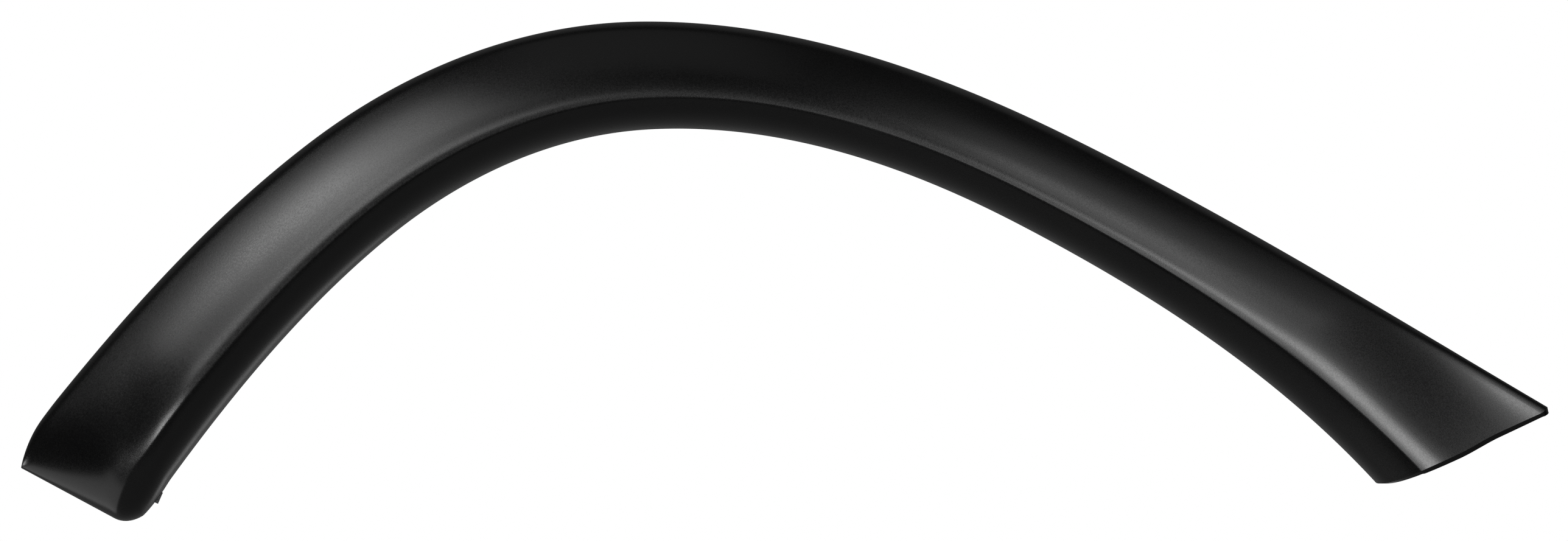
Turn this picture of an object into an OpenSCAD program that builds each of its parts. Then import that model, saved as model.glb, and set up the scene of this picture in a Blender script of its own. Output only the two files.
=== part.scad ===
// Wheel arch trim: one moulded plastic shell that follows the edge of a wheel opening.
// Seen from outside the car: +X runs along the car from the closed foot to the cut tail, +Z is up,
// and +Y runs into the car. The zero point is the mouth of the crown fixing, on the body's surface.
// The two long edges are splines through six stations: foot, ankle, shoulder, crown, flank and tail.

/* [Opening edge] */
// Foot corner of the opening, across from its crown
foot_x = -308; // [-318:1:-304]
// Foot corner of the opening, up from its crown
foot_z = -234; // [-246:1:-228]
// Direction of the opening's edge at the foot, in degrees
foot_dir = 68; // [58:1:72]
// Ankle of the opening's edge, across from its crown
ankle_x = -293.5; // [-300:0.5:-286]
// Ankle of the opening's edge, up from its crown
ankle_z = -201.3; // [-208:0.1:-192]
// Direction of the edge at the ankle, in degrees
ankle_dir = 53.9; // [50:0.1:60]
// Shoulder of the opening's edge, across from its crown
shoulder_x = -168.7; // [-180:0.1:-158]
// Shoulder of the opening's edge, up from its crown
shoulder_z = -62.9; // [-72:0.1:-54]
// Direction of the edge at the shoulder, in degrees
shoulder_dir = 39.4; // [35:0.1:44]
// Crown of the opening's edge, across from the drawing's zero
crown_x = -18.1; // [-30:0.1:0]
// Crown of the opening's edge, up from the drawing's zero
crown_z = -0.4; // [-8:0.1:8]
// Direction of the edge at the crown, in degrees
crown_dir = 3.1; // [0:0.1:6]
// Flank of the opening's edge, across from its crown
flank_x = 193.1; // [180:0.1:206]
// Flank of the opening's edge, up from its crown
flank_z = -54.2; // [-62:0.1:-46]
// Direction of the edge at the flank, in degrees
flank_dir = -27.4; // [-31:0.1:-24]
// Tail corner of the opening, across from its crown
tail_x = 400.8; // [385:0.1:416]
// Tail corner of the opening, up from its crown
tail_z = -204.2; // [-214:0.1:-194]
// Direction of the opening's edge at the tail, in degrees
tail_dir = -47.4; // [-51:0.1:-43]

/* [Band width and outer edge] */
// Length of the foot's end edge, before its corners are rounded
foot_band = 88; // [82:0.5:94]
// Direction of the foot's end edge, in degrees
foot_cut = 151.7; // [148:0.1:155]
// Direction of the outer edge at the foot, in degrees
foot_outer_dir = 53; // [50:0.5:56]
// Width of the band at the ankle
ankle_band = 79.3; // [74:0.1:84]
// Direction of the outer edge at the ankle, in degrees
ankle_outer_dir = 51; // [48:0.1:55]
// Width of the band at the shoulder
shoulder_band = 70.6; // [65:0.1:76]
// Direction of the outer edge at the shoulder, in degrees
shoulder_outer_dir = 37.4; // [34:0.1:41]
// Width of the band at the crown
crown_band = 62; // [57:0.1:67]
// Direction of the outer edge at the crown, in degrees
crown_outer_dir = 0.4; // [-3:0.1:4]
// Width of the band at the flank
flank_band = 57.8; // [53:0.1:63]
// Direction of the outer edge at the flank, in degrees
flank_outer_dir = -26.1; // [-29:0.1:-23]
// Length of the tail's cut edge
tail_band = 107.1; // [98:0.1:114]
// Direction of the tail's cut edge, in degrees
tail_cut = 23.9; // [20:0.1:28]
// Direction of the outer edge at the tail, in degrees
tail_outer_dir = -30.8; // [-34:0.1:-28]
// How far the tail's cut edge bows out from a straight line
tail_bow = 2.5; // [0:0.1:4]

/* [Section] */
// Wall thickness of the moulding
wall = 2.6; // [2:0.1:3.2]
// Radius rolled on the outer edge, where the trim meets the body
rim_r = 5.5; // [4:0.1:7]
// Height of the full face above the body at the foot, before the crest is rounded
crest_foot = 44; // [38:0.5:48]
// Height of the full face above the body at its highest, before the crest is rounded
crest_top = 42; // [36:0.5:46]
// Height of the full face above the body at the tail, before the crest is rounded
crest_tail = 40; // [34:0.5:44]
// Width of the side wall in front view at the foot
side_foot = 21.5; // [20:0.1:24]
// Width of the side wall in front view where it is narrowest
side_mid = 17; // [15.5:0.1:19]
// Width of the side wall in front view at the tail
side_tail = 24; // [22:0.1:26]
// How far the opening's edge lies behind the body's surface
edge_drop = 8; // [6:0.5:12]
// Depth of the return lip behind the opening's edge
lip_depth = 12; // [10:0.5:16]
// Width of the end wall in front view at the foot
end_w = 31; // [27:0.5:34]
// How far the outer edge tucks in along the end wall
end_tuck = 6.7; // [3:0.1:9]
// Radius of the foot's lower corner in front view
corner_r = 22; // [16:0.5:22]
// How far the tail's sharp tip is rounded back
tip_round = 1.6; // [0:0.1:3]
// Slant of the cut face across the wall at the tail
cut_bevel = 2.4; // [0:0.1:3]

/* [Fixings] */
// Outside diameter of a screw boss
boss_d = 13; // [11:0.5:15]
// Diameter of a screw boss's hole
boss_hole_d = 4.2; // [3.5:0.1:5]
// Depth of a screw boss's hole
boss_hole_depth = 9; // [6:0.5:10]
// How far a boss's gussets reach from its centre
gusset_reach = 12; // [10:0.5:14]
// How far a boss's gussets stop short of the body's surface
gusset_gap = 6; // [4:0.5:8]
// Thickness of the gussets and corner ribs
rib_t = 2; // [1.5:0.1:2.5]
// Diameter of a screw hole in the return lip
lip_hole_d = 5.5; // [4.5:0.1:6]
// Width of the locating tab at the foot's lower corner
tab_w = 7; // [5:0.5:9]
// How far the locating tab stands out below the opening's edge
tab_out = 1.4; // [0.8:0.1:2]

/* [Hidden] */
trim_colour = [0.09, 0.09, 0.095];

// Stations along the trim count from 0 at the foot to 5 at the tail
crown_station = 3;
flank_station = 4;
tail_station = 5;
boss_stations = [1.3, 2.1, crown_station, 3.8, 4.55];
lip_hole_stations = [1.25, 2.2, 3.1, 3.95, 4.75];
rib_stations = [1.06, 1.65, 2.45, 2.75, 3.35, 3.6, 4.2, 4.36, 4.85];
rings_per_span = [14, 13, 12, 13, 16];
ring_stations = concat([for (s = [0:4]) for (k = [0:rings_per_span[s] - 1]) s + k / rings_per_span[s]],
                       [tail_station]);

// Share of the face's width, from the outer edge to the crest, at which the bosses stand
boss_place = 0.42;
// The face's curve: its exponent, the share of that curve used before the crest, and the hollow at
// the tail, which starts at its own station
face_fullness = 1.8;
face_reach = 0.75;
tail_hollow = 0.6;
hollow_from = 4.6;
// Exponent of the side wall's curl, and the share of its height taken by the round on the crest
wall_curl = 0.3;
crest_round = 0.2;
corner_round = 0.4;
// Length over which the bow of the tail's cut fades out, in stations
bow_fade = 0.4;
// The cut bows out in two steps, counted from the outer edge: the share of the bow in the first
// step, the place and the length of the rise to the second
bow_first = 0.4;
bow_rise_at = 0.3;
bow_rise = 0.25;
// Exponent that keeps the bow up close to the opening's edge
bow_end = 16;
// Distance from the end edge at which the return lip starts, and its least depth
lip_start = 4;
lip_least = 0.5;
// Station of the locating tab
tab_station = 0.62;
// Steps over which slopes are taken: in stations along the trim, in millimetres across it
station_step = 0.02;
slope_step = 0.5;

function heading(a) = [cos(a), sin(a)];
function square_of(x) = x * x;
// Rises smoothly from 0 to 1
function ease(x) = let (t = min(max(x, 0), 1)) t * t * (3 - 2 * t);
// The smaller of two values, with the step between them rounded over k
function soft_min(x, y, k) = min(x, y) - square_of(max(k - abs(x - y), 0)) / (4 * max(k, 0.001));
// A value that is lowest or highest at one station and changes as a square on both sides of it
function bow(u, foot, mid, tail, at) = mid
    + (u < at ? (foot - mid) * square_of(1 - u / at)
              : (tail - mid) * square_of((u - at) / (tail_station - at)));

// The opening's edge and the outer edge: [across, up, direction] at each station
function beside(x, z, dir, band) = [x, z] + band * heading(dir + 90);
foot_outer = [foot_x, foot_z] + foot_band * heading(foot_cut);
tail_outer = [tail_x, tail_z] + tail_band * heading(tail_cut);
function knot(p, dir) = [p[0], p[1], dir];
inner_knots = [[foot_x, foot_z, foot_dir], [ankle_x, ankle_z, ankle_dir],
               [shoulder_x, shoulder_z, shoulder_dir], [crown_x, crown_z, crown_dir],
               [flank_x, flank_z, flank_dir], [tail_x, tail_z, tail_dir]];
outer_knots = [knot(foot_outer, foot_outer_dir),
               knot(beside(ankle_x, ankle_z, ankle_dir, ankle_band), ankle_outer_dir),
               knot(beside(shoulder_x, shoulder_z, shoulder_dir, shoulder_band), shoulder_outer_dir),
               knot(beside(crown_x, crown_z, crown_dir, crown_band), crown_outer_dir),
               knot(beside(flank_x, flank_z, flank_dir, flank_band), flank_outer_dir),
               knot(tail_outer, tail_outer_dir)];

// Cubic span between two knots, with handles that would draw an arc between like directions
function span_point(k0, k1, t) =
    let (p = [k0[0], k0[1]], q = [k1[0], k1[1]],
         reach = norm(q - p) / (3 * square_of(cos((k1[2] - k0[2]) / 4))),
         c0 = p + reach * heading(k0[2]), c1 = q - reach * heading(k1[2]), s = 1 - t)
    s * s * s * p + 3 * s * s * t * c0 + 3 * s * t * t * c1 + t * t * t * q;
function edge_point(knots, u) =
    let (i = min(floor(u), len(knots) - 2)) span_point(knots[i], knots[i + 1], u - i);
function inner_point(u) = edge_point(inner_knots, u);
function outer_point(u) = edge_point(outer_knots, u);
function band_width(u) = norm(inner_point(u) - outer_point(u));
// Direction across the band, from the opening's edge to the outer edge
function across(u) = (outer_point(u) - inner_point(u)) / band_width(u);
function side_w(u) = bow(u, side_foot, side_mid, side_tail, flank_station - 0.2);
function crest_h(u) = bow(u, crest_foot, crest_top, crest_tail, crown_station + 0.2);
// Distance of a point from the line of the foot's end edge
function from_end(p) = let (n = heading(foot_cut - 90)) (p - [foot_x, foot_z]) * n;

// Height of the face above the body, at distance b from the opening's edge
function face_height(u, b) =
    let (w = band_width(u), a = w - b, q = min(max(a / (w - side_w(u)), 0), 1),
         m = 1 + tail_hollow * ease((u - hollow_from) / (tail_station - hollow_from)),
         roll = a < rim_r ? sqrt(square_of(rim_r) - square_of(rim_r - a)) : rim_r)
    roll + (crest_h(u) - rim_r) * (1 - pow(1 - face_reach * pow(q, m), face_fullness))
        / (1 - pow(1 - face_reach, face_fullness));
// Height of the surface: the face, brought down to the edge by the side wall and the end wall
function surface_height(u, b, c) =
    let (eb = b / side_w(u), ec = c / end_w,
         e = max(soft_min(eb, ec, corner_round * min(eb, ec, 1)), 0),
         g = soft_min(pow(e, wall_curl), 1, crest_round))
    (face_height(u, b) + edge_drop) * g - edge_drop;

// How far the tail's cut edge stands out from its chord, at a share of its length from the outer edge
function cut_bow(t) =
    let (step = bow_first + (1 - bow_first) * ease((t - bow_rise_at) / bow_rise))
    tail_bow * step * (1 - pow(t, bow_end)) - tip_round * square_of(max(1 - t * tail_band / rim_r, 0));

// A place on the visible surface. depth moves it back from there along Y.
function surface_point(u, b, depth) =
    let (side = across(u), line = heading(foot_cut - 90), p = inner_point(u) + b * side,
         c = max(from_end(p), 0), corner_c = corner_r * end_w / side_foot,
         pb = max(1 - b / corner_r, 0), pc = max(1 - c / corner_c, 0),
         round_to = pb * pc > 0 ? max(pb, pc) / norm([pb, pc]) : 1,
         db = corner_r * pb * (1 - round_to), dc = corner_c * pc * (1 - round_to),
         tuck = end_tuck * square_of(max(1 - c / end_w, 0)) * b / band_width(u),
         t = b / band_width(u),
         bulge = cut_bow(1 - t) * square_of(max(1 - (tail_station - u) / bow_fade, 0)),
         at = p + (db - tuck) * side + dc * line + bulge * heading(tail_cut - 90))
    [at[0], depth - surface_height(u, b, c), at[1]];

// Distances from the opening's edge at which a section has its points, from the outer edge inwards
rim_steps = [0, 0.06, 0.22, 0.5, 0.85, 1.3];
face_rows = 6;
crest_steps = [1.7, 1.45, 1.28, 1.16, 1.06, 0.98, 0.89, 0.78];
wall_steps = [0.63, 0.46, 0.3, 0.17, 0.08, 0.03, 0.006];
function section_rows(u) =
    let (w = band_width(u), s = side_w(u), first = w - rim_steps[5] * rim_r, last = s * crest_steps[0])
    concat([for (k = rim_steps) w - k * rim_r],
           [for (k = [1:face_rows - 1]) first + (last - first) * k / face_rows],
           [for (k = crest_steps) s * k],
           [for (k = wall_steps) s * k]);
// The return lip fades out over the foot's lower corner
function lip_at(u) = lip_depth * ease((from_end(inner_point(u)) - lip_start) / end_w) + lip_least;
lip_steps = [0, 0.2, 0.6, 1];
function front_row(u) = concat([for (b = section_rows(u)) surface_point(u, b, 0)],
                               [for (k = lip_steps) surface_point(u, 0, k * lip_at(u))]);

front = [for (u = ring_stations) front_row(u)];
last_ring = len(front) - 1;
last_row = len(front[0]) - 1;
function unit(v) = v / norm(v);
// Outward direction of the surface at a point of the grid
function outward(i, j) =
    let (i0 = max(i - 1, 0), i1 = min(i + 1, last_ring), j0 = max(j - 1, 0), j1 = min(j + 1, last_row))
    unit(cross(front[i][j1] - front[i][j0], front[i1][j] - front[i0][j]));
// The hidden side: the visible surface set in by the wall, and run on a little at the slanted cut
back = [for (i = [0:last_ring]) [for (j = [0:last_row])
    front[i][j] - wall * outward(i, j)
        + (i == last_ring ? cut_bevel * unit(front[i][j] - front[i - 1][j]) : [0, 0, 0])]];

rows = last_row + 1;
loop_size = 2 * rows;
shell_points = [for (i = [0:last_ring]) for (j = [0:loop_size - 1])
    j < rows ? front[i][j] : back[i][loop_size - 1 - j]];
function quad(a, b, c, d) = [[a, b, c], [a, c, d]];
shell_skin = [for (i = [0:last_ring - 1]) for (j = [0:loop_size - 1])
    let (k = (j + 1) % loop_size, p = i * loop_size, q = p + loop_size)
    each quad(p + j, q + j, q + k, p + k)];
foot_cap = [for (j = [0:last_row - 1])
    each quad(j, j + 1, loop_size - 2 - j, loop_size - 1 - j)];
tail_cap = [for (face = foot_cap)
    [for (k = [2:-1:0]) face[k] + last_ring * loop_size]];

module shell() {
    polyhedron(points = shell_points, faces = concat(shell_skin, foot_cap, tail_cap), convexity = 12);
}

// Place and slope of the surface at a boss
function boss_b(u) = band_width(u) - boss_place * (band_width(u) - side_w(u));
function boss_foot(u) = let (p = surface_point(u, boss_b(u), 0)) [p[0], 0, p[2]];
function boss_height(u) = -surface_point(u, boss_b(u), 0)[1];
function boss_slope(u) =
    let (b = boss_b(u), du = station_step,
         along = surface_point(u + du, b, 0) - surface_point(u - du, b, 0),
         over = surface_point(u, b - slope_step, 0) - surface_point(u, b + slope_step, 0))
    unit(cross(over, along));

// Screw boss with four gussets, trimmed to end inside the wall of the face
module screw_boss(u) {
    high = boss_height(u);
    slope = boss_slope(u);
    tilt = acos(-slope[1]);
    spare = 30;
    translate(boss_foot(u))
        difference() {
            union() {
                rotate([90, 0, 0])
                    cylinder(d = boss_d, h = high + spare / 2, $fn = 48);
                for (turn = [0, 90])
                    rotate([0, turn - ring_angle(u), 0])
                        translate([-gusset_reach, -high - spare / 2, -rib_t / 2])
                            cube([2 * gusset_reach, high + spare / 2 - gusset_gap, rib_t]);
            }
            translate([0, -high, 0])
                rotate(a = tilt, v = cross([0, -1, 0], slope))
                    translate([-spare, -2 * spare + wall * 0.7, -spare])
                        cube([2 * spare, 2 * spare, 2 * spare]);
        }
}
function ring_angle(u) = let (s = across(u)) atan2(s[1], s[0]);

module screw_boss_hole(u) {
    translate(boss_foot(u) + [0, 1, 0])
        rotate([90, 0, 0])
            cylinder(d = boss_hole_d, h = boss_hole_depth + 1, $fn = 48);
}

// Hole through the return lip, square to the opening's edge
function inner_heading(u) =
    let (du = station_step, v = inner_point(u + du) - inner_point(u - du)) atan2(v[1], v[0]);
module lip_hole(u) {
    p = inner_point(u);
    translate([p[0], edge_drop + lip_depth / 2, p[1]])
        rotate([0, -inner_heading(u), 0])
            translate([0, 0, -2 * wall])
                cylinder(d = lip_hole_d, h = 4 * wall, $fn = 48);
}

// Corner rib: a thin web between the face and the side wall, behind the crest
rib_from = 0.55;
rib_to = 0.1;
rib_points = 14;
module corner_rib(u) {
    side = across(u);
    p = inner_point(u);
    b_first = side_w(u) + (band_width(u) - side_w(u)) * rib_from;
    b_last = side_w(u) * rib_to;
    inset = wall * 0.6;
    c = end_w * 2;
    outline = [for (k = [0:rib_points])
        let (b = b_first + (b_last - b_first) * k / rib_points,
             rise = (surface_height(u, b + slope_step, c) - surface_height(u, b - slope_step, c))
                 / (2 * slope_step),
             out = [-rise, 1] / norm([rise, 1]))
        [b, surface_height(u, b, c)] - inset * out];
    multmatrix([[side[0], 0, side[1], p[0]], [0, -1, 0, 0], [side[1], 0, -side[0], p[1]], [0, 0, 0, 1]])
        linear_extrude(height = rib_t, center = true)
            polygon(outline);
}

// Small locating tab behind the foot's lower corner
module foot_tab() {
    p = surface_point(tab_station, 0, 0);
    translate([p[0], edge_drop - lip_least, p[2]])
        rotate([0, -inner_heading(tab_station), 0])
            translate([-tab_w / 2, -wall / 2, -tab_out])
                cube([tab_w, wall, tab_out + wall]);
}

module arch_trim() {
    datum = boss_foot(crown_station);
    color(trim_colour)
        translate(-datum)
            difference() {
                union() {
                    shell();
                    for (u = boss_stations)
                        screw_boss(u);
                    for (u = rib_stations)
                        corner_rib(u);
                    foot_tab();
                }
                for (u = boss_stations)
                    screw_boss_hole(u);
                for (u = lip_hole_stations)
                    lip_hole(u);
            }
}

arch_trim();
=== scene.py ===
# Wheel arch trim: one grained black moulding, shown square on from outside the car.
# All surfaces are worked out in millimetres from the stations below and scaled to metres at the end.
import math
import bpy
import numpy as np
from mathutils import Matrix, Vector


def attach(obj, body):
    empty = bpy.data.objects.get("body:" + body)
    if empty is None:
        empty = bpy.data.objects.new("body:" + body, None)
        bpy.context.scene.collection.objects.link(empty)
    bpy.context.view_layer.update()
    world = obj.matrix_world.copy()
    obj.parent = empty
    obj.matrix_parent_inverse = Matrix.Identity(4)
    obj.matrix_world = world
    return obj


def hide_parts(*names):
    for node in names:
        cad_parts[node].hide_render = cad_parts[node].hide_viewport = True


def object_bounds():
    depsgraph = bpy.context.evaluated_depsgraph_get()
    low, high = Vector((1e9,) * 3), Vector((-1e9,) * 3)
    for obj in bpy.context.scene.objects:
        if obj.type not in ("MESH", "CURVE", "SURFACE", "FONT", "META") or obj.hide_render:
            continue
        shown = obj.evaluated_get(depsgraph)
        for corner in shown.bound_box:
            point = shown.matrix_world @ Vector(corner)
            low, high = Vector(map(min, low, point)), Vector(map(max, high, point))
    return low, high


print("stage 1: loading the frame")
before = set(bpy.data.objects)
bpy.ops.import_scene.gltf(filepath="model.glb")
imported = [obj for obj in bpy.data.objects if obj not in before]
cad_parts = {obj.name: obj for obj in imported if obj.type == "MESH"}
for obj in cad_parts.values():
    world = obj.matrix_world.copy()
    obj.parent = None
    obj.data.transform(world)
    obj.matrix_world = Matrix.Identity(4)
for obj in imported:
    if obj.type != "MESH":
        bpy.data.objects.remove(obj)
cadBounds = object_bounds()
millimetre = 0.001

# The sizes a user would change. A station is a place along the trim: 0 foot, 1 ankle, 2 shoulder,
# 3 crown, 4 flank, 5 tail. An edge knot is across, up and direction in degrees.
trim = {
    "openingKnots": [[-308.0, -234.0, 68.0], [-293.5, -201.3, 53.9], [-168.7, -62.9, 39.4],
                     [-18.1, -0.4, 3.1], [193.1, -54.2, -27.4], [400.8, -204.2, -47.4]],
    "bands": [88.0, 79.3, 70.6, 62.0, 57.8, 107.1],          # width of the band at each station
    "footCut": 151.7,                                        # directions of the two end edges
    "tailCut": 23.9,
    "outerDirections": [53.0, 51.0, 37.4, 0.4, -26.1, -30.8],
    "wall": 2.6,
    "rimRadius": 5.5,
    "crestHeights": [44.0, 42.0, 40.0],                      # at the foot, in the middle, at the tail
    "crestMiddle": 3.2,                                      # station of the middle height
    "sideWidths": [21.5, 17.0, 24.0],                        # at the foot, narrowest, at the tail
    "sideMiddle": 3.8,                                       # station of the narrowest side wall
    "edgeDrop": 8.0,
    "lipDepth": 12.0,
    "lipFrom": 4.0,                                          # distance from the foot's end where it starts
    "lipLowest": 0.5,
    "endWidth": 31.0,
    "endTuck": 6.7,
    "cornerRadius": 22.0,
    "tailBow": 2.5,
    "bowFirst": 0.4,
    "bowRiseAt": 0.3,
    "bowRise": 0.25,
    "bowFade": 0.4,
    "tipRound": 1.6,
    "cutBevel": 2.4,
    "faceFullness": 1.8,
    "faceReach": 0.75,
    "tailHollow": 0.6,
    "hollowFrom": 4.6,
    "wallCurl": 0.3,
    "crestRound": 0.2,
    "foldRound": 0.45,                                       # the same where the face meets the end wall
    "foldFrom": 0.8,                                         # how far the fold's round reaches to the crest
    "foldSpan": 2.2,
    "footFall": 0.2,                                         # share by which the face sinks at the foot
    "fallFrom": 110.0,
    "ringsPerSpan": [56, 84, 70, 76, 96],
    "rimRows": 9,
    "faceRows": 26,
    "crestRows": 20,
    "wallRows": 14,
    "lipRows": 7,
    "crestRowsWithin": [1.6, 0.6],                           # shares of the side wall's width
    "wallRowsPower": 1.9,
    "noseRows": [4, 2],                                      # rows eased before and after the edge
}
crownStation = 3
tailStation = 5


def heading(degrees):
    # unit vector (cos, sin) of each direction
    a = np.radians(degrees)
    return np.stack([np.cos(a), np.sin(a)], -1)


def ease(x):
    # 3t^2 - 2t^3, rising from 0 to 1
    t = np.clip(x, 0.0, 1.0)
    return t * t * (3.0 - 2.0 * t)


def softMin(x, y, k):
    # min(x, y) less (k - |x - y|)^2 / 4k where the two are closer than k
    return np.minimum(x, y) - np.maximum(k - np.abs(x - y), 0.0) ** 2 / (4.0 * np.maximum(k, 0.001))


def bowed(u, values, at):
    # middle value plus the square of the way to each end
    foot, mid, tail = values
    left = (foot - mid) * (1.0 - u / at) ** 2
    right = (tail - mid) * ((u - at) / (tailStation - at)) ** 2
    return mid + np.where(u < at, left, right)


opening = np.array(trim["openingKnots"])
bandDirections = opening[:, 2] + 90.0
bandDirections[0] = trim["footCut"]
bandDirections[-1] = trim["tailCut"]
outer = np.column_stack([opening[:, :2] + np.array(trim["bands"])[:, None] * heading(bandDirections),
                         trim["outerDirections"]])


def edgePoint(knots, u):
    # cubic span between neighbouring knots, with handles of chord / (3 cos^2(turn / 4))
    i = np.clip(np.floor(u).astype(int), 0, len(knots) - 2)
    t = (u - i)[..., None]
    k0, k1 = knots[i], knots[i + 1]
    p, q = k0[..., :2], k1[..., :2]
    chord = np.linalg.norm(q - p, axis=-1)
    reach = (chord / (3.0 * np.cos(np.radians((k1[..., 2] - k0[..., 2]) / 4.0)) ** 2))[..., None]
    c0 = p + reach * heading(k0[..., 2])
    c1 = q - reach * heading(k1[..., 2])
    s = 1.0 - t
    return s ** 3 * p + 3.0 * s * s * t * c0 + 3.0 * s * t * t * c1 + t ** 3 * q


def bandAt(u):
    # opening's edge, unit vector across the band to the outer edge, and the band's width
    inner = edgePoint(opening, u)
    over = edgePoint(outer, u) - inner
    width = np.linalg.norm(over, axis=-1)
    return inner, over / width[..., None], width


def sideWidth(u):
    # width of the side wall in the front view
    return bowed(u, trim["sideWidths"], trim["sideMiddle"])


def fromEnd(p):
    # distance from the line of the foot's end edge
    return (p - opening[0, :2]) @ heading(trim["footCut"] - 90.0)


def faceHeight(u, b, width):
    # quarter circle at the rim plus a rise over the share q of the face:
    # (1 - (1 - k q^m)^n) / (1 - (1 - k)^n)
    a = width - b
    q = np.clip(a / (width - sideWidth(u)), 0.0, 1.0)
    m = 1.0 + trim["tailHollow"] * ease((u - trim["hollowFrom"]) / (tailStation - trim["hollowFrom"]))
    r = trim["rimRadius"]
    roll = np.sqrt(np.maximum(r * r - np.maximum(r - a, 0.0) ** 2, 0.0))
    crest = bowed(u, trim["crestHeights"], trim["crestMiddle"])
    k, n = trim["faceReach"], trim["faceFullness"]
    return roll + (crest - r) * (1.0 - (1.0 - k * q ** m) ** n) / (1.0 - (1.0 - k) ** n)


def cornerLevel(x, y):
    # level e of the rounded corner through a point: an arc of radius 1 with centre 1 + e both ways gives
    # e = (sqrt(2 - (x - y)^2) - (2 - x - y)) / 2; outside the arc it is the smaller of the two
    e = (np.sqrt(np.maximum(2.0 - (x - y) ** 2, 0.0)) - (2.0 - x - y)) / 2.0
    inside = (x < 1.0 + e) & (y < 1.0 + e)
    return np.maximum(np.where(inside, e, np.minimum(x, y)), 0.0)


def surfaceHeight(u, b, c, width):
    # the face, sinking as a square towards the foot, times the soft minimum of 1 and the level to the
    # power of the curl, which brings it down to the edge over the side wall and the end wall
    side = sideWidth(u)
    eb, ec = b / side, c / trim["endWidth"]
    level = cornerLevel(b / trim["cornerRadius"], ec * trim["sideWidths"][0] / trim["cornerRadius"])
    e = level * trim["cornerRadius"] / side
    fold = ease(trim["foldFrom"] + (eb - ec) / trim["foldSpan"])
    soft = trim["crestRound"] + (trim["foldRound"] - trim["crestRound"]) * fold
    g = softMin(e ** trim["wallCurl"], np.ones_like(e), soft)
    fall = 1.0 - trim["footFall"] * np.maximum(1.0 - c / trim["fallFrom"], 0.0) ** 2
    return (faceHeight(u, b, width) * fall + trim["edgeDrop"]) * g - trim["edgeDrop"]


def cutBow(t):
    # how far the tail's cut stands out from its chord at share t from the outer edge
    step = trim["bowFirst"] + (1.0 - trim["bowFirst"]) * ease((t - trim["bowRiseAt"]) / trim["bowRise"])
    tip = trim["tipRound"] * np.maximum(1.0 - t * trim["bands"][-1] / trim["rimRadius"], 0.0) ** 2
    return trim["tailBow"] * step * (1.0 - t ** 16) - tip


def surfacePoint(u, b, depth):
    # place on the visible surface for station u and distance b, moved back by depth along Y
    inner, side, width = bandAt(u)
    line = heading(trim["footCut"] - 90.0)
    p = inner + b[..., None] * side
    c = np.maximum(fromEnd(p), 0.0)
    cornerB = trim["cornerRadius"]
    cornerC = cornerB * trim["endWidth"] / trim["sideWidths"][0]
    pb, pc = np.maximum(1.0 - b / cornerB, 0.0), np.maximum(1.0 - c / cornerC, 0.0)
    roundTo = np.where(pb * pc > 0.0, np.maximum(pb, pc) / np.maximum(np.hypot(pb, pc), 1e-9), 1.0)
    db, dc = cornerB * pb * (1.0 - roundTo), cornerC * pc * (1.0 - roundTo)
    share = b / width
    tuck = trim["endTuck"] * np.maximum(1.0 - c / trim["endWidth"], 0.0) ** 2 * share
    fade = np.maximum(1.0 - (tailStation - u) / trim["bowFade"], 0.0) ** 2
    bulge = cutBow(1.0 - share) * fade
    at = p + (db - tuck)[..., None] * side + dc[..., None] * line \
        + bulge[..., None] * heading(trim["tailCut"] - 90.0)
    return np.stack([at[..., 0], depth - surfaceHeight(u, b + db, c + dc, width), at[..., 1]], -1)


def sectionRows(u):
    # distances b of a section's rows: even angles round the rim, even steps over face and crest, and
    # steps that shorten as a power towards the opening's edge
    width, side = bandAt(u)[2][:, None], sideWidth(u)[:, None]
    phi = np.linspace(0.0, np.pi / 2.0, trim["rimRows"])[None]
    rim = width - trim["rimRadius"] * (1.0 - np.cos(phi))
    crestFrom, crestTo = trim["crestRowsWithin"]
    first, last = rim[:, -1:], side * crestFrom
    face = first + (last - first) * np.linspace(0.0, 1.0, trim["faceRows"] + 1)[None, 1:]
    crest = last + (side * crestTo - last) * np.linspace(0.0, 1.0, trim["crestRows"] + 1)[None, 1:]
    down = 1.0 - np.linspace(0.0, 1.0, trim["wallRows"] + 1)[None, 1:]
    wall = side * crestTo * down ** trim["wallRowsPower"]
    return np.hstack([rim, face, crest, wall])


def visibleSide():
    # grid of the visible surface with the return lip: rings along the trim, rows across it
    spans = [s + np.arange(n) / n for s, n in enumerate(trim["ringsPerSpan"])]
    u = np.concatenate(spans + [[float(tailStation)]])
    b = sectionRows(u)
    along = (fromEnd(edgePoint(opening, u)) - trim["lipFrom"]) / trim["endWidth"]
    lipFull = trim["lipDepth"] * ease(along) + trim["lipLowest"]
    steps = np.linspace(0.0, 1.0, trim["lipRows"] + 1)[None, 1:]
    depth = np.hstack([np.zeros_like(b), steps * lipFull[:, None]])
    b = np.hstack([b, np.zeros((len(u), trim["lipRows"]))])
    return surfacePoint(np.repeat(u[:, None], b.shape[1], 1), b, depth)


def outward(grid):
    # cross product of the steps along the rows and along the rings
    n = np.cross(np.gradient(grid, axis=1), np.gradient(grid, axis=0))
    return n / np.maximum(np.linalg.norm(n, axis=-1, keepdims=True), 1e-12)


def hiddenSide(front):
    # the visible grid set in by the wall along its normals, eased round the nose of the lip
    n = outward(front)
    nose = front.shape[1] - trim["lipRows"] - 1
    low, high = nose - trim["noseRows"][0], nose + trim["noseRows"][1]
    w = (np.arange(low, high + 1) - low) / (high - low)
    w = w[None, :, None]
    n[:, low:high + 1] = n[:, low:low + 1] * (1.0 - w) + n[:, high:high + 1] * w
    n /= np.linalg.norm(n, axis=-1, keepdims=True)
    back = front - trim["wall"] * n
    run = front[-1] - front[-2]
    back[-1] += trim["cutBevel"] * run / np.linalg.norm(run, axis=-1, keepdims=True)
    return back


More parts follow.
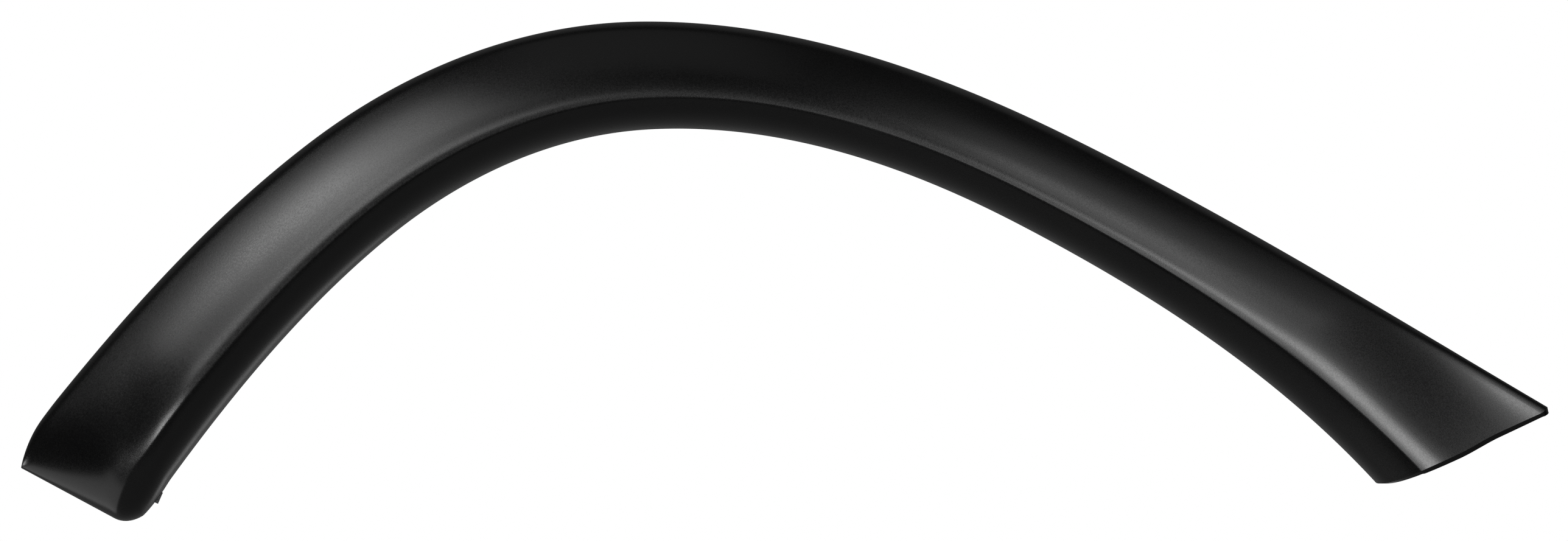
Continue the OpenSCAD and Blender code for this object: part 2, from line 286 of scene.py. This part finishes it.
def closedShell(front, back):
    # loop of front rows and reversed back rows at each ring, joined ring to ring and capped by strips
    rings, rows = front.shape[:2]
    loop = 2 * rows
    verts = np.concatenate([front, back[:, ::-1]], 1).reshape(-1, 3)
    i, j = np.meshgrid(np.arange(rings - 1), np.arange(loop), indexing="ij")
    k = (j + 1) % loop
    skin = np.stack([i * loop + j, i * loop + k, (i + 1) * loop + k, (i + 1) * loop + j], -1).reshape(-1, 4)
    hidden = (j.ravel() >= rows - 1).astype(np.int32)
    r = np.arange(rows - 1)
    foot = np.stack([r, loop - 1 - r, loop - 2 - r, r + 1], -1)
    tail = foot[:, ::-1] + (rings - 1) * loop
    slots = np.concatenate([hidden, np.full(len(foot) + len(tail), 2, np.int32)])
    return verts, np.concatenate([skin, foot, tail]), slots


print("stage 2: working out the shell")
front = visibleSide()
back = hiddenSide(front)
shellVerts, shellFaces, shellSlots = closedShell(front, back)

# Bosses, corner ribs and the locating tab of the hidden side
fixings = {
    "bossStations": [1.3, 2.1, 3.0, 3.8, 4.55],
    "bossPlace": 0.42,                                       # share of the face from the outer edge
    "bossDiameter": 13.0,
    "bossHole": 4.2,
    "bossHoleDepth": 9.0,
    "gussetReach": 12.0,
    "gussetGap": 6.0,
    "seatInto": 0.7,                                         # share of the wall that bosses reach into
    "ribInto": 0.6,                                          # the same for the ribs
    "ribThickness": 2.0,
    "ribStations": [1.06, 1.65, 2.45, 2.75, 3.35, 3.6, 4.2, 4.36, 4.85],
    "ribFrom": 0.55,
    "ribTo": 0.1,
    "ribPoints": 14,
    "lipStations": [1.25, 2.2, 3.1, 3.95, 4.75],
    "lipHole": 5.5,
    "tabStation": 0.62,
    "tabWidth": 7.0,
    "tabOut": 1.4,
    "roundSides": 48,
}


def bossSeats():
    # foot on the body's plane, height of the face above it and the face's slope, at each boss
    u = np.array(fixings["bossStations"])
    inner, side, width = bandAt(u)
    b = width - fixings["bossPlace"] * (width - sideWidth(u))
    zero = np.zeros_like(u)
    at = surfacePoint(u, b, zero)
    along = surfacePoint(u + 0.02, b, zero) - surfacePoint(u - 0.02, b, zero)
    over = surfacePoint(u, b - 0.5, zero) - surfacePoint(u, b + 0.5, zero)
    slope = np.cross(over, along)
    turn = np.arctan2(side[:, 1], side[:, 0])
    return at * [1.0, 0.0, 1.0], -at[:, 1], slope / np.linalg.norm(slope, axis=-1, keepdims=True), turn


def planeDepth(points, high, slope):
    # Y of the plane that lies a share of the wall behind the face at a boss, above each point
    into = fixings["seatInto"] * trim["wall"] / -slope[1]
    return -high + into - (points[:, 0] * slope[0] + points[:, 2] * slope[2]) / slope[1]


def bossMesh(high, slope):
    # outer circle at the mouth and on the sloping plane, closed by a fan at each end
    n = fixings["roundSides"]
    a = np.arange(n) * 2.0 * np.pi / n
    r = fixings["bossDiameter"] / 2.0
    ring = np.stack([r * np.cos(a), np.zeros(n), r * np.sin(a)], -1)
    top = ring.copy()
    top[:, 1] = planeDepth(top, high, slope)
    mid = np.array([[0.0, 0.0, 0.0]])
    topMid = mid.copy()
    topMid[:, 1] = planeDepth(mid, high, slope)
    k, m = np.arange(n), (np.arange(n) + 1) % n
    sides = np.stack([k, k + n, m + n, m], -1)
    verts = np.concatenate([ring, top, mid, topMid])
    fans = np.concatenate([np.stack([k, m, np.full(n, 2 * n)], -1),
                           np.stack([m + n, k + n, np.full(n, 2 * n + 1)], -1)])
    return verts, [list(f) for f in sides] + [list(f) for f in fans]


def gussetMesh(high, slope, turn):
    # plate through the boss's axis from the gap above the body up to the sloping plane
    reach, half, low = fixings["gussetReach"], fixings["ribThickness"] / 2.0, -fixings["gussetGap"]
    ends = np.array([[-reach, -half], [reach, -half], [reach, half], [-reach, half]])
    c, s = math.cos(turn), math.sin(turn)
    foot = np.stack([ends[:, 0] * c - ends[:, 1] * s, np.full(4, low), ends[:, 0] * s + ends[:, 1] * c], -1)
    top = foot.copy()
    top[:, 1] = planeDepth(top, high, slope)
    return prism(foot, top)


def prism(first, second):
    # two like outlines joined by quads
    n = len(first)
    k = np.arange(n)
    m = (k + 1) % n
    sides = [list(f) for f in np.stack([k, k + n, m + n, m], -1)]
    return np.concatenate([first, second]), sides + [list(range(n)), list(range(2 * n - 1, n - 1, -1))]


def ribMesh(u):
    # web in the plane of a section, bounded by the section set in by a share of the wall and by its chord
    inner, side, width = [v[0] for v in bandAt(np.array([u]))]
    s = float(sideWidth(np.array(u)))
    b = np.linspace(s + (width - s) * fixings["ribFrom"], s * fixings["ribTo"], fixings["ribPoints"] + 1)
    uu, w = np.full_like(b, u), np.full_like(b, width)
    c = fromEnd(inner + b[:, None] * side)
    rise = surfaceHeight(uu, b + 0.5, c, w) - surfaceHeight(uu, b - 0.5, c, w)
    away = np.stack([-rise, np.ones_like(rise)], -1) / np.hypot(rise, 1.0)[:, None]
    line = np.stack([b, surfaceHeight(uu, b, c, w)], -1) - fixings["ribInto"] * trim["wall"] * away
    flat = np.stack([inner[0] + line[:, 0] * side[0], -line[:, 1], inner[1] + line[:, 0] * side[1]], -1)
    half = fixings["ribThickness"] / 2.0 * np.array([side[1], 0.0, -side[0]])
    return prism(flat - half, flat + half)


def tabMesh():
    # small block behind the opening's edge at the foot's lower corner
    u = np.array([fixings["tabStation"]])
    at = surfacePoint(u, np.zeros(1), np.zeros(1))[0]
    step = edgePoint(opening, u + 0.02)[0] - edgePoint(opening, u - 0.02)[0]
    a = math.atan2(step[1], step[0])
    w, y0 = fixings["tabWidth"] / 2.0, trim["edgeDrop"] - 0.5
    z0, z1 = -fixings["tabOut"], trim["wall"]
    corners = np.array([[-w, z0], [w, z0], [w, z1], [-w, z1]])
    x = at[0] + corners[:, 0] * math.cos(a) - corners[:, 1] * math.sin(a)
    z = at[2] + corners[:, 0] * math.sin(a) + corners[:, 1] * math.cos(a)
    near = np.stack([x, np.full(4, y0 - trim["wall"] / 2.0), z], -1)
    far = np.stack([x, np.full(4, y0 + trim["wall"] / 2.0), z], -1)
    return prism(near, far)


def rodMesh(start, end, diameter):
    # straight round rod between two points
    n = fixings["roundSides"]
    axis = (end - start) / np.linalg.norm(end - start)
    aside = np.cross(axis, [0.0, 1.0, 0.0] if abs(axis[1]) < 0.9 else [1.0, 0.0, 0.0])
    aside /= np.linalg.norm(aside)
    third = np.cross(axis, aside)
    a = np.arange(n)[:, None] * 2.0 * np.pi / n
    ring = diameter / 2.0 * (np.cos(a) * aside + np.sin(a) * third)
    return prism(start + ring, end + ring)


datum = bossSeats()[0][crownStation - 1]                     # the crown fixing's mouth is the origin


def newObject(name, verts, faces, slots=None):
    mesh = bpy.data.meshes.new(name)
    places = (np.asarray(verts) - datum) * millimetre
    mesh.from_pydata(places.tolist(), [], [list(map(int, f)) for f in faces])
    if slots is not None:
        mesh.polygons.foreach_set("material_index", slots)
    mesh.update()
    obj = bpy.data.objects.new(name, mesh)
    bpy.context.scene.collection.objects.link(obj)
    return obj


def facingOut(obj):
    # a closed mesh with a negative volume is turned round
    mesh = obj.data
    mesh.calc_loop_triangles()
    tri = np.empty(len(mesh.loop_triangles) * 3, np.int32)
    mesh.loop_triangles.foreach_get("vertices", tri)
    co = np.empty(len(mesh.vertices) * 3)
    mesh.vertices.foreach_get("co", co)
    p = co.reshape(-1, 3)[tri.reshape(-1, 3)]
    if np.einsum("ij,ij->", p[:, 0], np.cross(p[:, 1], p[:, 2])) < 0.0:
        mesh.flip_normals()
    return obj


def combine(target, others, operation):
    # one exact step for each solid added to or taken from the shell
    for other in others:
        step = target.modifiers.new(operation.lower(), "BOOLEAN")
        step.operation = operation
        step.solver = "MANIFOLD"
        step.object = other
    graph = bpy.context.evaluated_depsgraph_get()
    made = bpy.data.meshes.new_from_object(target.evaluated_get(graph))
    target.modifiers.clear()
    old = target.data
    target.data = made
    bpy.data.meshes.remove(old)
    for other in others:
        mesh = other.data
        bpy.data.objects.remove(other)
        bpy.data.meshes.remove(mesh)


print("stage 3: bosses, ribs, tab and holes")
archTrim = facingOut(newObject("archTrim", shellVerts, shellFaces, shellSlots))
added, taken = [], []
feet, highs, slopes, turns = bossSeats()
for k in range(len(highs)):
    v, f = bossMesh(highs[k], slopes[k])
    added.append(newObject("boss", v + feet[k], f))
    for quarter in (0.0, math.pi / 2.0):
        v, f = gussetMesh(highs[k], slopes[k], turns[k] + quarter)
        added.append(newObject("gusset", v + feet[k], f))
    deep = np.array([0.0, -fixings["bossHoleDepth"], 0.0])
    v, f = rodMesh(feet[k] - deep * 0.1, feet[k] + deep, fixings["bossHole"])
    taken.append(newObject("bossHole", v, f))
for u in fixings["ribStations"]:
    added.append(newObject("rib", *ribMesh(u)))
added.append(newObject("tab", *tabMesh()))
for u in fixings["lipStations"]:
    at = edgePoint(opening, np.array([u]))[0]
    step = edgePoint(opening, np.array([u + 0.02]))[0] - edgePoint(opening, np.array([u - 0.02]))[0]
    step /= np.linalg.norm(step)
    mid = np.array([at[0], trim["edgeDrop"] + trim["lipDepth"] / 2.0, at[1]])
    across = np.array([-step[1], 0.0, step[0]]) * 2.0 * trim["wall"]
    taken.append(newObject("lipHole", *rodMesh(mid - across, mid + across, fixings["lipHole"])))

for part in added + taken:
    facingOut(part)
    part.data.materials.clear()
print("  additions:", len(added), "holes:", len(taken))

# Finishes. The grain is one group on Object coordinates: two scales of bump, a slow change of tone and
# roughness, and a finer change of roughness from pit to pit.
finish = {
    "grainedFace": {"tone": 0.002, "rough": 0.268, "pitch": 2600.0, "depth": 0.5, "vary": 0.35,
                    "pits": 0.25, "shine": 0.565},
    "smoothBack": {"tone": 0.03, "rough": 0.40, "pitch": 260.0, "depth": 0.4, "vary": 0.25,
                   "pits": 0.1, "shine": 0.49},
    "cutEdge": {"tone": 0.009, "rough": 0.52, "pitch": 900.0, "depth": 0.5, "vary": 0.30,
                "pits": 0.2, "shine": 0.41},
}
materialNames = list(finish)
grainHeight = 0.00004                                        # metres from pit to peak
toneTint = (1.0, 1.0, 1.04)                                  # the black leans a little to blue
plasticIndex = 1.5


def mouldGrainGroup():
    # noise at the grain's pitch and at a third of it for the bump; slow noise for tone and roughness
    group = bpy.data.node_groups.new("mouldGrain", "ShaderNodeTree")
    face = group.interface
    for name, kind, value in (("Tone", "NodeSocketFloat", 0.02), ("Roughness", "NodeSocketFloat", 0.5),
                              ("Pitch", "NodeSocketFloat", 600.0), ("Depth", "NodeSocketFloat", 0.3),
                              ("Vary", "NodeSocketFloat", 0.3), ("Pits", "NodeSocketFloat", 0.3)):
        face.new_socket(name, in_out="INPUT", socket_type=kind).default_value = value
    face.new_socket("Color", in_out="OUTPUT", socket_type="NodeSocketColor")
    face.new_socket("Roughness", in_out="OUTPUT", socket_type="NodeSocketFloat")
    face.new_socket("Height", in_out="OUTPUT", socket_type="NodeSocketFloat")
    nodes, links = group.nodes, group.links

    def add(kind, **settings):
        node = nodes.new(kind)
        for key, value in settings.items():
            setattr(node, key, value)
        return node

    def maths(operation, a, b):
        node = add("ShaderNodeMath", operation=operation)
        for socket, value in ((node.inputs[0], a), (node.inputs[1], b)):
            if isinstance(value, (int, float)):
                socket.default_value = value
            else:
                links.new(value, socket)
        return node.outputs[0]

    def noise(scale, detail, roughness):
        node = add("ShaderNodeTexNoise")
        links.new(place.outputs["Object"], node.inputs["Vector"])
        if isinstance(scale, (int, float)):
            node.inputs["Scale"].default_value = scale
        else:
            links.new(scale, node.inputs["Scale"])
        node.inputs["Detail"].default_value = detail
        node.inputs["Roughness"].default_value = roughness
        return node.outputs["Fac"]

    inputs, outputs = add("NodeGroupInput"), add("NodeGroupOutput")
    place = add("ShaderNodeTexCoord")
    pitch = inputs.outputs["Pitch"]
    coarse = noise(maths("DIVIDE", pitch, 3.0), 2.0, 0.5)
    fine = noise(pitch, 1.0, 0.6)
    slow = noise(9.0, 3.0, 0.55)
    grain = maths("ADD", maths("MULTIPLY", coarse, 0.55), maths("MULTIPLY", fine, 0.45))
    swing = maths("SUBTRACT", slow, 0.5)
    speck = maths("SUBTRACT", fine, 0.5)
    tone = maths("MULTIPLY", inputs.outputs["Tone"],
                 maths("ADD", 1.0, maths("MULTIPLY", inputs.outputs["Vary"], maths("ADD", swing, speck))))
    colour = add("ShaderNodeCombineColor")
    for socket, tint in zip(colour.inputs, toneTint):
        links.new(maths("MULTIPLY", tone, tint), socket)
    links.new(colour.outputs["Color"], outputs.inputs["Color"])
    # pits of the grain take the light unevenly: roughness times 1 + pits times (1 - twice the noise)
    uneven = maths("MULTIPLY", inputs.outputs["Pits"], maths("SUBTRACT", 1.0, maths("MULTIPLY", coarse, 2.0)))
    pitted = maths("MULTIPLY", inputs.outputs["Roughness"], maths("ADD", 1.0, uneven))
    rough = maths("ADD", pitted, maths("MULTIPLY", maths("ADD", swing, speck), 0.12))
    links.new(rough, outputs.inputs["Roughness"])
    links.new(maths("MULTIPLY", grain, inputs.outputs["Depth"]), outputs.inputs["Height"])
    return group


def mouldedPlastic(name, group):
    values = finish[name]
    material = bpy.data.materials.new(name)
    material.use_nodes = True
    nodes, links = material.node_tree.nodes, material.node_tree.links
    shader = nodes["Principled BSDF"]
    grain = nodes.new("ShaderNodeGroup")
    grain.node_tree = group
    for socket, key in (("Tone", "tone"), ("Roughness", "rough"), ("Pitch", "pitch"),
                        ("Depth", "depth"), ("Vary", "vary"), ("Pits", "pits")):
        grain.inputs[socket].default_value = values[key]
    bump = nodes.new("ShaderNodeBump")
    bump.inputs["Strength"].default_value = 1.0
    bump.inputs["Distance"].default_value = grainHeight
    links.new(grain.outputs["Height"], bump.inputs["Height"])
    links.new(bump.outputs["Normal"], shader.inputs["Normal"])
    links.new(grain.outputs["Color"], shader.inputs["Base Color"])
    links.new(grain.outputs["Roughness"], shader.inputs["Roughness"])
    shader.inputs["Specular IOR Level"].default_value = values["shine"]
    shader.inputs["IOR"].default_value = plasticIndex
    return material


print("stage 4: finishes")
grainGroup = mouldGrainGroup()
archTrim.data.materials.clear()
for name in materialNames:
    archTrim.data.materials.append(mouldedPlastic(name, grainGroup))
for part in added + taken:
    for name in materialNames:
        part.data.materials.append(bpy.data.materials[name])
    part.data.polygons.foreach_set("material_index", np.full(len(part.data.polygons), 1, np.int32))
combine(archTrim, added, "UNION")
combine(archTrim, taken, "DIFFERENCE")
archTrim.data.polygons.foreach_set("use_smooth", np.ones(len(archTrim.data.polygons), bool))
archTrim.data.set_sharp_from_angle(angle=math.radians(32.0))
archTrim.data.name = "archTrim"
print("  triangles:", sum(len(p.vertices) - 2 for p in archTrim.data.polygons))
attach(archTrim, "root")
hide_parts("arch_trim")

# Stage: a pale floor that turns up into a backdrop behind the trim. The glows light it softly all round.
stage = {"below": 2.6, "behind": 2.4, "bend": 0.9, "ahead": 3.0, "halfWidth": 6.0, "height": 7.0,
         "bendSteps": 24, "paperTone": 0.1, "paperGlow": 0.07, "airGlow": 0.01}
white = (1.0, 1.0, 1.0, 1.0)


def sweptBackdrop():
    # floor, a quarter circle and a wall as one profile carried straight across
    low = cadBounds[0][2] - stage["below"]
    a = np.linspace(0.0, np.pi / 2.0, stage["bendSteps"] + 1)
    r = stage["bend"]
    y = np.concatenate([[-stage["ahead"]], stage["behind"] - r + r * np.sin(a), [stage["behind"]]])
    z = np.concatenate([[low], low + r - r * np.cos(a), [low + stage["height"]]])
    n = len(y)
    half = stage["halfWidth"]
    verts = np.concatenate([np.stack([np.full(n, x), y, z], -1) for x in (-half, half)])
    k = np.arange(n - 1)
    faces = np.stack([k, k + n, k + n + 1, k + 1], -1)
    mesh = bpy.data.meshes.new("paleFloor")
    mesh.from_pydata(verts.tolist(), [], faces.tolist())
    mesh.polygons.foreach_set("use_smooth", np.ones(len(faces), bool))
    obj = bpy.data.objects.new("paleFloor", mesh)
    bpy.context.scene.collection.objects.link(obj)
    mesh.materials.append(paper("palePaper", False))
    mesh.materials.append(paper("backPaper", True))
    mesh.polygons.foreach_set("material_index", (k > 0).astype(np.int32))
    return obj


def paper(name, isOpen):
    # pale paper with a weak glow; to the camera the floor is white and the back, which only lights, is open
    material = bpy.data.materials.new(name)
    material.use_nodes = True
    nodes, links = material.node_tree.nodes, material.node_tree.links
    shader = nodes["Principled BSDF"]
    shader.inputs["Base Color"].default_value = (stage["paperTone"],) * 3 + (1.0,)
    shader.inputs["Roughness"].default_value = 1.0
    shader.inputs["Emission Color"].default_value = white
    shader.inputs["Emission Strength"].default_value = stage["paperGlow"]
    seen = nodes.new("ShaderNodeBsdfTransparent" if isOpen else "ShaderNodeEmission")
    seen.inputs["Color"].default_value = white
    path, mix = nodes.new("ShaderNodeLightPath"), nodes.new("ShaderNodeMixShader")
    links.new(path.outputs["Is Camera Ray"], mix.inputs["Fac"])
    links.new(shader.outputs["BSDF"], mix.inputs[1])
    links.new(seen.outputs[0], mix.inputs[2])
    links.new(mix.outputs["Shader"], nodes["Material Output"].inputs["Surface"])
    return material


print("stage 5: floor, lights and camera")
sweptBackdrop()

# Softboxes: angle off the camera's line, angle round it from the right, turn, width and height, radiance,
# and the distance from the trim's middle where it isn't the usual reach. Each lights one stretch.
lights = {
    "keyLeft": {"off": 49.5, "around": 133.0, "turn": 133.0, "size": (1.9, 1.1), "radiance": 3.9},
    "nearLeft": {"off": 28.0, "around": 135.0, "turn": 135.0, "size": (1.7, 1.4), "radiance": 3.9},
    "nearLow": {"off": 33.3, "around": -154.4, "turn": -130.0,
                "size": (0.2, 0.3), "radiance": 13.0, "reach": 1.27},
    "keyRight": {"off": 34.0, "around": 29.0, "turn": 29.0, "size": (2.0, 2.0), "radiance": 8.0},
    "nearRight": {"off": 14.0, "around": 22.0, "turn": 30.0, "size": (1.4, 1.1), "radiance": 3.4},
    "midRight": {"off": 52.0, "around": 55.0, "turn": 55.0, "size": (1.5, 1.1), "radiance": 2.2},
    "besideRight": {"off": 53.0, "around": 40.0, "turn": 40.0, "size": (1.1, 0.7), "radiance": 1.0},
    "sideRight": {"off": 67.0, "around": 58.0, "turn": 58.0, "size": (1.4, 1.0), "radiance": 2.6},
    "farRight": {"off": 82.0, "around": 60.0, "turn": 60.0, "size": (1.2, 1.2), "radiance": 0.6},
    "sideLeft": {"off": 72.0, "around": 129.0, "turn": 129.0, "size": (1.9, 1.9), "radiance": 2.6},
    "farLeft": {"off": 70.0, "around": 136.0, "turn": 136.0, "size": (1.0, 1.0), "radiance": 4.3},
    "overLeft": {"off": 57.0, "around": 123.0, "turn": 123.0, "size": (1.8, 1.8), "radiance": 0.7},
    "top": {"off": 88.0, "around": 95.0, "turn": 95.0, "size": (2.6, 2.6), "radiance": 0.15},
    "edgeLeft": {"off": 101.0, "around": -165.0, "turn": -165.0, "size": (1.2, 1.2), "radiance": 5.0},
    "behindRight": {"off": 152.0, "around": -40.0, "turn": -40.0,
                    "size": (0.7, 0.8), "radiance": 0.5, "reach": 2.4},
    "belowFoot": {"off": 84.0, "around": -140.0, "turn": -30.0,
                  "size": (0.6, 1.2), "radiance": 0.7, "reach": 1.05},
}
lightReach = 5.0
middle = np.array([(cadBounds[0][k] + cadBounds[1][k]) / 2.0 for k in range(3)])
for name, box in lights.items():
    off, around = math.radians(box["off"]), math.radians(box["around"])
    away = np.array([math.sin(off) * math.cos(around), -math.cos(off), math.sin(off) * math.sin(around)])
    data = bpy.data.lights.new(name, "AREA")
    data.shape = "RECTANGLE"
    data.size, data.size_y = box["size"]
    data.energy = box["radiance"] * math.pi * data.size * data.size_y
    lamp = bpy.data.objects.new(name, data)
    # local X lies along the turn, local Z points away from the trim
    turn = math.radians(box["turn"])
    along = np.array([math.cos(turn), 0.0, math.sin(turn)])
    along -= away * along.dot(away)
    along /= np.linalg.norm(along)
    third = np.cross(away, along)
    place = middle + away * box.get("reach", lightReach)
    rows = [(along[k], third[k], away[k], place[k]) for k in range(3)]
    lamp.matrix_world = Matrix(rows + [(0.0, 0.0, 0.0, 1.0)])
    bpy.context.scene.collection.objects.link(lamp)

world = bpy.data.worlds.new("studio")
world.use_nodes = True
airNodes, airLinks = world.node_tree.nodes, world.node_tree.links
dim, bright = airNodes["Background"], airNodes.new("ShaderNodeBackground")
airPath, airMix = airNodes.new("ShaderNodeLightPath"), airNodes.new("ShaderNodeMixShader")
for air, strength in ((dim, stage["airGlow"]), (bright, 1.0)):
    air.inputs["Color"].default_value = white
    air.inputs["Strength"].default_value = strength
airLinks.new(airPath.outputs["Is Camera Ray"], airMix.inputs["Fac"])
airLinks.new(dim.outputs["Background"], airMix.inputs[1])
airLinks.new(bright.outputs["Background"], airMix.inputs[2])
airLinks.new(airMix.outputs["Shader"], airNodes["World Output"].inputs["Surface"])
bpy.context.scene.world = world
bpy.context.scene.view_settings.view_transform = "Standard"

# Camera: square on, as far off as keeps the long ends in proportion
photo = {"width": 2576, "height": 889, "mmPerPixel": 0.35, "crownX": 1118.0, "crownY": 211.0,
         "distance": 8.0}
cameraData = bpy.data.cameras.new("camera")
cameraData.sensor_width = 36.0
frameWidth = photo["width"] * photo["mmPerPixel"] * millimetre
cameraData.lens = cameraData.sensor_width * photo["distance"] / frameWidth
cameraData.clip_end = 100.0
camera = bpy.data.objects.new("camera", cameraData)
centreX = (photo["width"] / 2.0 - photo["crownX"]) * photo["mmPerPixel"] - datum[0]
centreZ = (photo["crownY"] - photo["height"] / 2.0) * photo["mmPerPixel"] - datum[2]
camera.location = (centreX * millimetre, -photo["distance"], centreZ * millimetre)
camera.rotation_euler = (math.pi / 2.0, 0.0, 0.0)
bpy.context.scene.collection.objects.link(camera)
bpy.context.scene.camera = camera

print("stage 6: done")
